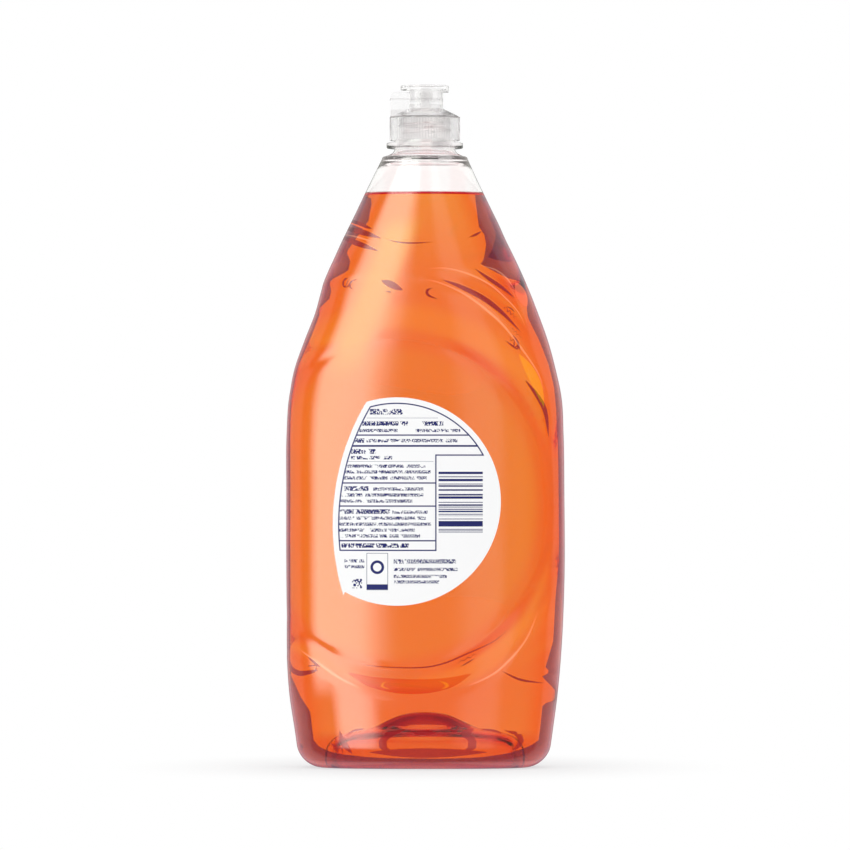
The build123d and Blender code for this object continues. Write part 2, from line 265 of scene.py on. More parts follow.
# Where the bottle's painted shade and painted light lie, in millimetres: where each starts, is full, begins
# to leave and ends
GROOVE_SHADE_BAND = (-0.6, 1.2, 3.0, 6.5)
GROOVE_SIDE = (4.0, 22.0)
HEEL_SHADE = (10.0, 17.0)
RING_SHADE = (RING_BOTTOM - 0.3, RING_BOTTOM + 0.1, RING_TOP - 0.1, RING_TOP + 0.2)
RING_FACE = (RING_RADIUS - 1.0, RING_RADIUS - 0.3)
COLLAR_SHADE_ARC = (256.7, 256.9, 257.0, 257.2)
COLLAR_FACE = (16.0, 17.0)
BLUSHES = [(-19.0, -16.0, -12.0, -9.0), (-3.0, -1.0, 2.0, 4.0), (9.0, 12.0, 16.0, 19.0)]
FILL_LINE = (239.8, 240.1, 240.6, 240.9)
HEADSPACE = (FILL_LEVEL, FILL_LEVEL + 0.5, 254.5, 255.0)
CROWN = (254.5, 255.0, 256.6, 256.8)
PANEL_GLOW = (-8.0, 0.0)
BETWEEN_PANEL = (2.0, 7.0, 11.0, 18.0)
BETWEEN_SWEEP = (-5.0, -1.0)

# The painted highlight's slant, a place on its middle, its width about that middle, and its heights
SHINE_SLOPE = 0.405
SHINE_PLACE = (-10.0, 225.0)
SHINE_WIDTH = (-10.0, -3.0, 3.0, 10.0)
SHINE_HEIGHTS = (160.0, 175.0, 222.0, 233.0)

# The same for the closure's painted shade and its parting line, by height, by radius and across; its stripes
# of painted shade are coarser than its ribs
SKIRT_SHADE_STRIPES = 76
SKIRT_HEIGHT = (272.4, 272.8)
SKIRT_FACE = (14.2, 14.4)
SKIRT_EDGE = (272.4, 272.7, 273.0, 273.3)
SKIRT_EDGE_FACE = (12.5, 13.0)
CONE = (273.0, 273.4, 275.6, 276.4)
CONE_FACE = (7.4, 7.8)
CHIMNEY_FOOT = (276.4, 276.8)
CHIMNEY_BANDS = [(-2.8, -1.4, 2.0, 3.4), (-6.6, -5.8, -5.0, -4.2), (5.2, 6.2, 7.0, 8.0)]
PARTING_LINE = (280.20, 280.32, 280.48, 280.60)

# The label's print, in millimetres on its face: bars as left, right, middle height and thickness
LABEL_CENTRE = (-11.7, 111.7)
LABEL_RADIUS = 43.3
LABEL_CUT = [(-12.5, 41.6), (-26.6, -8.0), (-22.2, -39.0)]
FRAME_MARGIN = 2.5
FRAME_FOOT = 91.4
FRAME_STEP = (4.6, 131.0)
FRAME_LINE = 0.27
RULES = [
    (-60.0, 60.0, 139.3, 0.55), (-60.0, 60.0, 134.8, 0.75), (-60.0, 4.6, 119.4, 0.55),
    (-60.0, 4.6, 109.8, 0.55), (-60.0, 4.6, 95.4, 0.55), (-24.1, 5.5, 146.4, 0.14),
    (-32.0, 3.6, 128.3, 0.12),
]
HEADINGS = [
    (-22.8, -9.2, 149.0, 2.3), (-26.0, -7.0, 144.1, 1.8), (-1.1, 7.7, 144.1, 1.8),
    (-29.1, -25.1, 137.0, 1.8), (-30.7, -20.4, 132.5, 2.0), (-30.7, -13.6, 129.9, 1.4),
    (-34.2, -23.4, 117.1, 1.9), (-35.3, -14.5, 107.5, 1.9), (-34.7, -6.6, 93.4, 1.8),
]
TEXT_LINES = [
    (-27.2, -11.3, 141.2, 1.3), (-3.8, 14.7, 141.2, 1.3), (-24.2, 13.5, 137.0, 1.4),
    (-32.6, 0.2, 126.4, 1.3), (-33.2, 2.4, 124.0, 1.3), (-33.8, 0.8, 121.5, 1.3),
    (-21.5, -0.6, 116.9, 1.3), (-34.8, -0.6, 114.4, 1.3), (-35.1, -5.2, 111.9, 1.3),
    (-13.5, 1.2, 107.3, 1.3), (-35.6, 0.4, 104.8, 1.3), (-35.7, 2.6, 102.3, 1.3),
    (-35.7, -4.2, 99.8, 1.3), (-35.6, -2.0, 97.4, 1.3), (-12.9, 12.9, 86.8, 1.8),
    (-12.9, 13.6, 83.5, 1.3), (-12.9, 9.1, 80.6, 1.3), (-12.9, 6.0, 78.3, 1.3),
    (-33.4, -25.1, 87.0, 1.3), (-33.4, -25.1, 84.6, 1.3),
]
BAR_FIELD = (5.7, 24.1, 111.5, 25.4)
BAR_PITCH = 0.33
CODE_FIELD = (-30.2, -26.1, 77.6, 3.9)
CODE_CELL = 0.55
CODE_STRIDE = 57
SYMBOL_BOX = (-24.1, -15.4, 82.6, 15.2)
SYMBOL_EDGE = 0.10
SYMBOL_FOOT = (-24.1, -15.4, 76.2, 2.2)
SYMBOL_CENTRE = (-19.75, 84.4)
SYMBOL_RADIUS = 2.3
SYMBOL_LINE = 0.55
MARK_STRETCH = (1, 1, 0.6)

# The photograph's frame: how many millimetres one pixel covers, and where the axis and the foot are
IMAGE_SIZE = 850
MM_PER_PIXEL = 0.42
AXIS_PIXEL = 424.8
FOOT_PIXEL = 767.0
CAMERA_DISTANCE = 2.75
CAMERA_HEIGHT = 0.13
SENSOR_WIDTH = 36

# The studio: its brightness as the plastic sees it, and its soft boxes as turns from straight ahead
ROOM_LIGHT = 0.92
DARK_ROOM = 0.10
BACK_OF_ROOM = 0.75
LEFT_BOX = 6.4
LEFT_BOX_TURNS = np.radians((3, 25, 56, 76))
RIGHT_BOX = 1.05
RIGHT_BOX_TURNS = np.radians((4, 14, 24, 36))
BOX_HEIGHTS = (-0.5, -0.25, 0.85, 0.95)
BOX_SIDE = (-0.05, 0.05)
BOX_TINT = (0.95, 0.98, 0.90, 1)

# The left box narrows below a height: its inner and outer parts end there
INNER_PART_TURNS = np.radians((10, 18))
OUTER_PART_TURNS = np.radians((34, 48))
NARROW_DEPTH = (0.12, 0.20)

# A dark patch straight behind the object, and a slightly dimmer stretch of the backdrop beside it
FLAG_TURNS = np.radians((10, 24))
FLAG_SHARE = 0.8
BACKDROP_EDGE = 0.85
BACKDROP_EDGE_TURNS = np.radians((50, 58, 70, 85))

# Lamps as name, place, power, width and height, and the place that they aim at
LAMPS = [
    ("soft_box_left", (-0.75, -0.75, 0.45), 0.7, 0.5, 0.9),
    ("soft_box_right", (0.85, -0.70, 0.40), 0.35, 0.4, 0.9),
]
LAMP_AIM = Vector((0, 0, 0.14))
FLOOR_SIZE = 12
SHADOW_REACH = (50.0, 140.0)
LIGHT_BOUNCES = 40

# The mesh: columns round the body, how closely its rings lie up to each height, and the plan's squareness
SEGMENTS = 232
RING_STEPS = [(20.0, 2.4), (60.0, 1.25), (165.0, 3.0), (236.0, 1.2), (SHOULDER_TOP, 2.4)]
PLAN_SQUARENESS = 2.5
PLAN_SAMPLES = 2000
FOOT_RING_SHARES = (0.15, 0.5, 1.0)
FACE_EDGE = 0.55
MERGE_DISTANCE = 0.002
SHARP_ANGLE = math.radians(35)


def smooth_step(low, high, value):
    """0 below low, 1 above high, and a soft S between."""
    t = np.clip((value - low) / (high - low), 0, 1)
    return t * t * (3 - 2 * t)


def smooth_through(places, values, at):
    """The height of a smooth line through the given points."""
    slopes = np.gradient(values, places)
    i = np.clip(np.searchsorted(places, at) - 1, 0, len(places) - 2)
    span = places[i + 1] - places[i]
    t = (at - places[i]) / span
    rest = 1 - t
    return (
        values[i] * (1 + 2 * t) * rest * rest
        + values[i + 1] * (3 - 2 * t) * t * t
        + slopes[i] * span * t * rest * rest
        - slopes[i + 1] * span * t * t * rest
    )


def outline(height):
    """Left, right and depth half sizes and the squareness of the body at a height."""
    places = np.append(STATIONS[:, 0] * COLLAR_HEIGHT, SHOULDER_TOP)
    ends = (COLLAR_RADIUS, COLLAR_RADIUS, COLLAR_RADIUS, 2.0)
    units = (BODY_WIDTH / 2, BODY_WIDTH / 2, BODY_DEPTH / 2, 1.0)
    return [
        smooth_through(places, np.append(STATIONS[:, k + 1] * units[k], ends[k]), height)
        for k in range(4)
    ]


def sweep_radius(angle):
    """The swept ridge's distance from the panel's centre in a direction."""
    turns = np.arctan2(SWEEP_POINTS[:, 1], SWEEP_POINTS[:, 0])
    order = np.argsort(turns)
    reach = np.hypot(SWEEP_POINTS[:, 0], SWEEP_POINTS[:, 1])[order]
    turns = turns[order]
    turns = np.concatenate([turns - 2 * math.pi, turns, turns + 2 * math.pi])
    return smooth_through(turns, np.tile(reach, 3), angle)


def panel_places(x, z):
    """Direction from the panel's centre, and distances past the panel's edge and past the sweep."""
    across, up = x - PANEL_CENTRE[0], z - PANEL_CENTRE[1]
    angle, reach = np.arctan2(up, across), np.hypot(across, up)
    half_x, half_z = PANEL_HALF
    panel = half_x * half_z / np.hypot(half_z * np.cos(angle), half_x * np.sin(angle))
    return angle, reach - panel, reach - sweep_radius(angle)


def relief(x, z):
    """How far the broad faces are pressed in, in millimetres, at a place on them."""
    angle, past_panel, past_sweep = panel_places(x, z)
    band = np.clip(past_panel / np.maximum(past_panel - past_sweep, 1), 0, 1)
    depth = PANEL_DEPTH - (PANEL_DEPTH - BAND_DEPTH) * smooth_step(0, 1, band)
    depth = depth * (1 - smooth_step(*SWEEP_EDGE, past_sweep))
    depth = depth + CREASE_DEPTH * np.exp(-((past_panel - CREASE_PLACE) / CREASE_WIDTH) ** 2)
    window = np.clip((angle - LEAF_START) / (LEAF_END - LEAF_START), 0, 1)
    window = np.sin(math.pi * window) ** LEAF_BOW
    for place, width, press in LEAF_RIDGES:
        depth = depth + press * window * np.exp(-((past_sweep - place * window) / width) ** 2)
    return depth


def strokes(x, z, folds):
    """Signed distance from the middle of the nearest stroke, and that stroke's half width there."""
    nearest = np.full(x.shape, FAR)
    across = np.full(x.shape, FAR)
    width = np.full(x.shape, -FAR)
    for half_width, points in folds:
        points = np.array(points)
        steps = np.arange(len(points))
        fine = np.linspace(0, len(points) - 1, STROKE_STEPS * (len(points) - 1) + 1)
        line_x = smooth_through(steps, points[:, 0], fine)
        line_z = smooth_through(steps, points[:, 1], fine)
        for k in range(len(fine) - 1):
            run_x, run_z = line_x[k + 1] - line_x[k], line_z[k + 1] - line_z[k]
            out_x, out_z = x - line_x[k], z - line_z[k]
            along = np.clip((out_x * run_x + out_z * run_z) / (run_x * run_x + run_z * run_z), 0, 1)
            away = np.hypot(out_x - along * run_x, out_z - along * run_z)
            share = (k + along) / (len(fine) - 1)
            here = (half_width + TIP) * np.sin(math.pi * share) ** STROKE_BOW - TIP
            closer = away - here < nearest
            nearest = np.where(closer, away - here, nearest)
            across = np.where(closer, np.where(out_x * run_z > out_z * run_x, away, -away), across)
            width = np.where(closer, here, width)
    width = np.where(np.abs(across) > width + STROKE_MARGIN, -FAR, width)
    return across, width


def plan_angles():
    """Turns round the plan that give columns of equal width on the body."""
    quarter = np.linspace(0, math.pi / 2, PLAN_SAMPLES)
    x = np.cos(quarter) ** (2 / PLAN_SQUARENESS) * BODY_WIDTH / 2
    y = np.sin(quarter) ** (2 / PLAN_SQUARENESS) * BODY_DEPTH / 2
    run = np.concatenate([[0], np.cumsum(np.hypot(np.diff(x), np.diff(y)))])
    first = np.interp(np.linspace(0, run[-1], SEGMENTS // 4 + 1), run, quarter)
    half = np.concatenate([first[:-1], math.pi - first[:0:-1]])
    return np.concatenate([half, half + math.pi, [2 * math.pi]])


def round_rings(points):
    """Rings of a round part, from points of radius and height."""
    return [(z, r, r, r, 2.0, 0.0) for r, z in points]


def ring_heights():
    """Heights of the side wall's rings, from the heel to the shoulder's top."""
    heights = [HEEL_RADIUS]
    for top, step in RING_STEPS:
        count = round((top - heights[-1]) / step)
        heights += list(np.linspace(heights[-1], top, count + 1)[1:])
    return np.array(heights)


def side_rings(heights, inset):
    """Rings of the body's side wall, set in by a wall, with the relief pressed in."""
    left, right, depth, power = outline(heights)
    return [
        (z, a - inset, b - inset, c - inset, n, 1.0)
        for z, a, b, c, n in zip(heights, left, right, depth, power)
    ]


def foot_rings(inset):
    """Rings from the push-up's top out to the heel's top."""
    dome = [half + inset for half in PUSH_UP]
    out, up = np.concatenate([PUSH_UP_BELL[1:2] * (-1, 1), PUSH_UP_BELL]).T
    run, rise = np.diff(out, prepend=out[0]) * dome[0], np.diff(up, prepend=up[0]) * dome[2]
    travel = np.cumsum(np.hypot(run, rise))
    rings = []
    for place in np.linspace(travel[1], travel[-1], BELL_RINGS):
        grow = max(float(smooth_through(travel, out, place)), 0.0)
        height = inset + (dome[2] - inset) * float(smooth_through(travel, up, place))
        rings.append((height, dome[0] * grow, dome[0] * grow, dome[1] * grow, 2.0, 0.0))
    radius = HEEL_RADIUS - inset
    left, right, depth, power = [float(v) for v in outline(np.array([0.0]))]
    inner = [v - HEEL_RADIUS for v in (left, right, depth)]
    for share in FOOT_RING_SHARES:
        rings.append((
            inset,
            dome[0] + (inner[0] - dome[0]) * share,
            dome[0] + (inner[1] - dome[0]) * share,
            dome[1] + (inner[2] - dome[1]) * share,
            2 + (power - 2) * share,
            0.0,
        ))
    for turn in np.linspace(0, math.pi / 2, HEEL_STEPS + 1)[1:]:
        height = HEEL_RADIUS - radius * math.cos(turn)
        left, right, depth, power = [float(v) for v in outline(np.array([height]))]
        back = HEEL_RADIUS - radius * math.sin(turn)
        rings.append((height, left - back, right - back, depth - back, power, 0.0))
    return rings


def thread_lift(x, y, z):
    """How far the helical thread stands out of the neck."""
    radius = np.hypot(x, y)
    turn = (np.arctan2(y, x) - THREAD_START_ANGLE) % (2 * math.pi)
    length = 2 * math.pi * THREAD_TURNS
    lift = np.zeros_like(z)
    for lap in range(2):
        travel = turn + 2 * math.pi * lap
        centre = THREAD_START_HEIGHT + THREAD_PITCH * travel / (2 * math.pi)
        run_in = smooth_step(0, THREAD_RUN_IN, travel)
        run_out = 1 - smooth_step(length - THREAD_RUN_OUT, length, travel)
        crest = 1 - smooth_step(THREAD_CREST, 1, np.abs(z - centre) / THREAD_HALF_WIDTH)
        lift = np.maximum(lift, THREAD_HEIGHT * run_in * run_out * crest)
    on_neck = (radius > NECK_RADIUS - 0.01) & (z > RING_TOP + 0.2) & (z < NECK_TOP - 0.5)
    return lift * on_neck


def edge_facing(x, y, z):
    """For each place, how far a surface has turned away where the dark side band of painted shade begins
    there.
    """
    run = [np.gradient(v, axis=1) for v in (x, y, z)]
    rise = [np.gradient(v, axis=0) for v in (x, y, z)]
    normal = np.cross(np.stack(run, axis=-1), np.stack(rise, axis=-1))
    normal = normal / np.maximum(np.linalg.norm(normal, axis=-1, keepdims=True), 1e-9)
    facing = 1 - np.abs(normal[:, :, 1])
    seen = x * CAMERA_DISTANCE / (CAMERA_DISTANCE + y * MM)
    threshold = np.ones_like(x)
    for row in range(len(x)):
        height = z[row, 0]
        for side, edge in ((-1, LEFT_EDGE), (1, RIGHT_EDGE)):
            near = (y[row] < 0) & (seen[row] * side > 0)
            order = np.argsort(seen[row][near] * side)
            place = np.interp(height, edge[:, 0], edge[:, 1] * side)
            turned = np.interp(place, (seen[row][near] * side)[order], facing[row][near][order])
            threshold[row, x[row] * side > 0] = turned if place > 1 else BAND_EVERYWHERE
    return threshold


def marks(x, y, z):
    """Places on the body that its finish needs, each as one number for every point."""
    nearer = CAMERA_DISTANCE / (CAMERA_DISTANCE + y * MM)
    seen_x = x * nearer
    seen_z = CAMERA_HEIGHT / MM + (z - CAMERA_HEIGHT / MM) * nearer
    past_panel, past_sweep = panel_places(x, z)[1:]
    found = {"past_panel": past_panel, "past_sweep": past_sweep}
    for name, folds in (
        ("dark_shade_stroke", DARK_SHADE_STROKES), ("shade_streak", SHADE_STREAKS), ("warm_glow_stroke", WARM_GLOW_STROKES),
        ("red_shade_stroke", RED_SHADE_STROKES), ("base_shade_patch", BASE_SHADE_PATCHES), ("base_shade_line", BASE_SHADE_LINES),
        ("light_fold", HIGHLIGHT_STROKES), ("gold_glow_stroke", GOLD_GLOW_STROKES),
    ):
        across, width = strokes(seen_x, seen_z, folds)
        found[name + "_across"] = across
        found[name + "_width"] = np.where(y < 0, width, -FAR)
    found["band_start"] = edge_facing(x, y, z)
    return found


def rolled(name, rings, marked=None, wetted_from=None):
    """A flat grid rolled into a tube through a row of oval rings, its seam and poles closed."""
    bpy.ops.mesh.primitive_grid_add(x_subdivisions=SEGMENTS, y_subdivisions=len(rings) - 1, size=1)
    piece = bpy.context.object
    piece.name = name
    z, left, right, depth, power, pressed = [np.array(c)[:, None] for c in zip(*rings)]
    turn = plan_angles()[None, :]
    across, along = np.cos(turn), np.sin(turn)
    reach = np.where(across >= 0, right, left)
    x = np.sign(across) * np.abs(across) ** (2 / power) * reach
    y = np.sign(along) * np.abs(along) ** (2 / power) * depth
    z = np.broadcast_to(z, x.shape)
    if marked:
        outside = slice(*marked)
        for key, values in marks(x[outside], y[outside], z[outside]).items():
            field = np.full(x.shape, -FAR if key.endswith("_width") else FAR)
            field[outside] = values
            attribute = piece.data.attributes.new(key, "FLOAT", "POINT")
            attribute.data.foreach_set("value", field.reshape(-1).astype(np.float32))
    face_share = smooth_step(0.0, FACE_EDGE, np.abs(y) / np.maximum(depth, 1e-6))
    depth_in = relief(x, z) * pressed
    y = y - np.sign(y) * depth_in * face_share
    x = x - np.sign(x) * depth_in * (1 - face_share) * SIDE_SHARE
    thread = thread_lift(x, y, z)
    if marked:
        attribute = piece.data.attributes.new("thread", "FLOAT", "POINT")
        attribute.data.foreach_set("value", (thread / THREAD_HEIGHT).reshape(-1).astype(np.float32))
    lift = thread / np.maximum(np.hypot(x, y), 1e-6)
    x, y = x * (1 + lift), y * (1 + lift)
    points = np.stack([x, y, z], axis=-1) * MM
    piece.data.vertices.foreach_set("co", points.reshape(-1).astype(np.float32))
    if wetted_from:
        ring_of_face = np.arange(len(piece.data.polygons)) // SEGMENTS
        wetted = (ring_of_face >= wetted_from) & (z[ring_of_face, 0] < FILL_LEVEL)
        piece.data.polygons.foreach_set("material_index", wetted.astype(np.int32))
    bpy.ops.object.mode_set(mode="EDIT")
    bpy.ops.mesh.select_all(action="SELECT")
    bpy.ops.mesh.remove_doubles(threshold=MERGE_DISTANCE * MM)
    bpy.ops.mesh.normals_make_consistent(inside=False)
    bpy.ops.object.mode_set(mode="OBJECT")
    bpy.ops.object.shade_smooth_by_angle(angle=SHARP_ANGLE)
    piece.select_set(False)
    return piece


def bottle_piece():
    """The blown bottle: outside from the push-up to the lip, then the inside back down."""
    rings = foot_rings(0.0)
    marked_from = len(rings) - HEEL_STEPS
    heights = ring_heights()
    rings += side_rings(heights[1:], 0.0)
    marked_to = len(rings)
    crown = COLLAR_RADIUS - CROWN_RISE
    rings += round_rings([
        (crown + CROWN_RISE * math.cos(a), SHOULDER_TOP + CROWN_RISE * math.sin(a))
        for a in np.linspace(0, math.pi / 2, 6)[1:]
    ])
    rings += round_rings(NECK_FLARE)
    rings += round_rings([
        (NECK_RADIUS, RING_BOTTOM), (RING_RADIUS - RING_EDGE, RING_BOTTOM),
        (RING_RADIUS - RING_BEVEL, RING_BOTTOM + RING_BEVEL), (RING_RADIUS, RING_BOTTOM + RING_EDGE),
        (RING_RADIUS, RING_TOP - RING_EDGE), (RING_RADIUS - RING_BEVEL, RING_TOP - RING_BEVEL),
        (RING_RADIUS - RING_EDGE, RING_TOP),
    ])
    rings += round_rings([(NECK_RADIUS, z) for z in np.linspace(RING_TOP, NECK_TOP - LIP_EDGE, NECK_RINGS)])
    rings += round_rings([
        (NECK_RADIUS - LIP_BEVEL, NECK_TOP - LIP_BEVEL), (NECK_RADIUS - LIP_EDGE, NECK_TOP),
        (BORE_RADIUS + LIP_EDGE, NECK_TOP), (BORE_RADIUS + LIP_BEVEL, NECK_TOP - LIP_BEVEL),
        (BORE_RADIUS, NECK_TOP - LIP_EDGE), (BORE_RADIUS, 266), (BORE_RADIUS, 262), (BORE_RADIUS, 259.5),
    ])
    rings += round_rings(BORE_FOOT)
    wetted_from = len(rings)
    inner = heights[(heights > HEEL_RADIUS) & (heights < SHOULDER_TOP - INNER_TOP_GAP)]
    rings += side_rings(inner[::-1], WALL)
    rings += foot_rings(WALL)[::-1]
    piece = rolled("clear_bottle", rings, marked=(marked_from, marked_to), wetted_from=wetted_from)
    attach(piece, "bottle")
    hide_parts("bottle")
    return piece


def liquid_piece():
    """The soap: up the wall to the fill line, a small meniscus, then in over the surface."""
    inset = WALL - LIQUID_OVERLAP
    rings = foot_rings(inset)
    heights = ring_heights()[1:]
    rings += side_rings(heights[heights < FILL_LEVEL - LAST_RING_GAP], inset)
    rings += side_rings(np.array([FILL_LEVEL]), inset)
    for back, drop in MENISCUS:
        rings += side_rings(np.array([FILL_LEVEL - drop]), inset + back)
    back, drop = MENISCUS[-1]
    level = side_rings(np.array([FILL_LEVEL - drop]), inset + back)[0]
    for share in SURFACE_SHARES:
        rings.append((level[0], level[1] * share, level[2] * share, level[3] * share, 2.0, 0.0))
    piece = rolled("soap", rings)
    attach(piece, "bottle")
    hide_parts("liquid")
    return piece


class Signal:
    """A socket that can be used in arithmetic: each sign adds a Math node."""

    def __init__(self, maker, socket):
        self.maker = maker
        self.socket = socket

    def __add__(self, other):
        return self.maker.math("ADD", self, other)

    def __radd__(self, other):
        return self.maker.math("ADD", other, self)

    def __sub__(self, other):
        return self.maker.math("SUBTRACT", self, other)

    def __rsub__(self, other):
        return self.maker.math("SUBTRACT", other, self)

    def __mul__(self, other):
        return self.maker.math("MULTIPLY", self, other)

    def __rmul__(self, other):
        return self.maker.math("MULTIPLY", other, self)

    def __truediv__(self, other):
        return self.maker.math("DIVIDE", self, other)


class Nodes:
    """A node tree under construction, for a material or the world."""

    def __init__(self, tree, output):
        self.tree = tree
        self.tree.nodes.clear()
        self.output = self.tree.nodes.new(output)

    def put(self, socket, value):
        if isinstance(value, Signal):
            self.tree.links.new(value.socket, socket)
        elif isinstance(value, bpy.types.NodeSocket):
            self.tree.links.new(value, socket)
        else:
            socket.default_value = value

    def node(self, kind, settings=None, sockets=None):
        """Adds any node: its settings are set first, then its sockets by name or number."""
        made = self.tree.nodes.new(kind)
        for key, value in (settings or {}).items():
            setattr(made, key, value)
        for key, value in (sockets or {}).items():
            self.put(made.inputs[key], value)
        return made

    def math(self, operation, first, second=0.0):
        made = self.node("ShaderNodeMath", {"operation": operation}, {0: first, 1: second})
        return Signal(self, made.outputs[0])

    def split(self, vector):
        made = self.node("ShaderNodeSeparateXYZ", sockets={0: vector})
        return [Signal(self, made.outputs[k]) for k in range(3)]

    def coordinate(self, kind):
        return self.node("ShaderNodeTexCoord").outputs[kind]

    def place(self):
        """Where a point lies on the object, in millimetres."""
        return [part / MM for part in self.split(self.coordinate("Object"))]

    def noise(self, scale, detail=2.0, stretch=(1, 1, 1)):
        turned = self.node(
            "ShaderNodeMapping", sockets={"Vector": self.coordinate("Object"), "Scale": stretch}
        )
        made = self.node(
            "ShaderNodeTexNoise",
            sockets={"Vector": turned.outputs[0], "Scale": scale, "Detail": detail, "Roughness": 0.5},
        )
        return Signal(self, made.outputs["Fac"])

    def mark(self, name):
        """A number that the piece's own mesh holds for each point."""
        made = self.node("ShaderNodeAttribute", {"attribute_type": "GEOMETRY", "attribute_name": name})
        return Signal(self, made.outputs["Fac"])

    def facing(self):
        """0 where the surface faces the eye, 1 at its edge."""
        made = self.node("ShaderNodeLayerWeight", sockets={"Blend": 0.5})
        return Signal(self, made.outputs["Facing"])

    def soft_step(self, value, low, high):
        """0 below low, 1 above high, and a soft S between."""
        made = self.node(
            "ShaderNodeMapRange",
            {"interpolation_type": "SMOOTHSTEP"},
            {"Value": value, "From Min": low, "From Max": high},
        )
        return Signal(self, made.outputs[0])

    def hump(self, value, low, rise, fall, high):
        """1 between rise and fall, and softly 0 outside low and high."""
        return self.soft_step(value, low, rise) * (1 - self.soft_step(value, fall, high))

    def humps(self, value, stretches):
        """1 on any of several stretches, and softly 0 between them."""
        share = self.hump(value, *stretches[0])
        for stretch in stretches[1:]:
            share = self.most(share, self.hump(value, *stretch))
        return share

    def mix(self, share, first, second):
        """A colour between two colours."""
        made = self.node("ShaderNodeMix", {"data_type": "RGBA"}, {0: share, 6: first, 7: second})
        return Signal(self, made.outputs[2])

    def painted(self, ground, layers):
        """A colour with others laid over it in turn, each by its own share."""
        for share, colour in layers:
            ground = self.mix(share, ground, colour)
        return ground

    def bump(self, height, distance):
        made = self.node(
            "ShaderNodeBump", sockets={"Height": height, "Distance": distance, "Strength": 1.0}
        )
        return Signal(self, made.outputs[0])

    def least(self, first, second):
        return self.math("MINIMUM", first, second)

    def most(self, first, second):
        return self.math("MAXIMUM", first, second)

    def size(self, value):
        """A number without its sign."""
        return self.math("ABSOLUTE", value)

    def length(self, across, up):
        return self.math("SQRT", across * across + up * up)

    def chance(self, place):
        """A number from 0 to 1 that changes at every whole place."""
        whole = self.math("FLOOR", place)
        made = self.node("ShaderNodeTexWhiteNoise", {"noise_dimensions": "1D"}, {"W": whole})
        return Signal(self, made.outputs["Value"])

    def path(self, kind):
        """1 for rays of a kind, such as those that come from the camera."""
        return Signal(self, self.node("ShaderNodeLightPath").outputs[kind])


class Finish(Nodes):
    """A material under construction."""

    def __init__(self, name):
        self.material = bpy.data.materials.new(name)
        self.material.use_nodes = True
        super().__init__(self.material.node_tree, "ShaderNodeOutputMaterial")

    def shader(self, **values):
        """The surface itself, with its sockets by name."""
        names = {}
        for key, value in values.items():
            names[key.replace("_", " ").title().replace("Ior", "IOR")] = value
        made = self.node("ShaderNodeBsdfPrincipled", sockets=names)
        self.put(self.output.inputs["Surface"], made.outputs[0])


def stroke(finish, name):
    """1 on a group of strokes, and softly 0 beside them."""
    away = finish.size(finish.mark(name + "_across")) - finish.mark(name + "_width")
    return 1 - finish.soft_step(away, -0.10, 0.12)


def wetted_wall_finish():
    """The wall's inner face where the soap touches it, which mirrors nothing."""
    finish = Finish("wetted_wall")
    ripple = finish.noise(45, 1.0)
    finish.shader(
        base_color=(1, 1, 1, 1),
        roughness=0.0,
        ior=1.5,
        transmission_weight=1.0,
        specular_tint=(0, 0, 0, 1),
        normal=finish.bump(ripple, 0.00002),
    )
    return finish.material


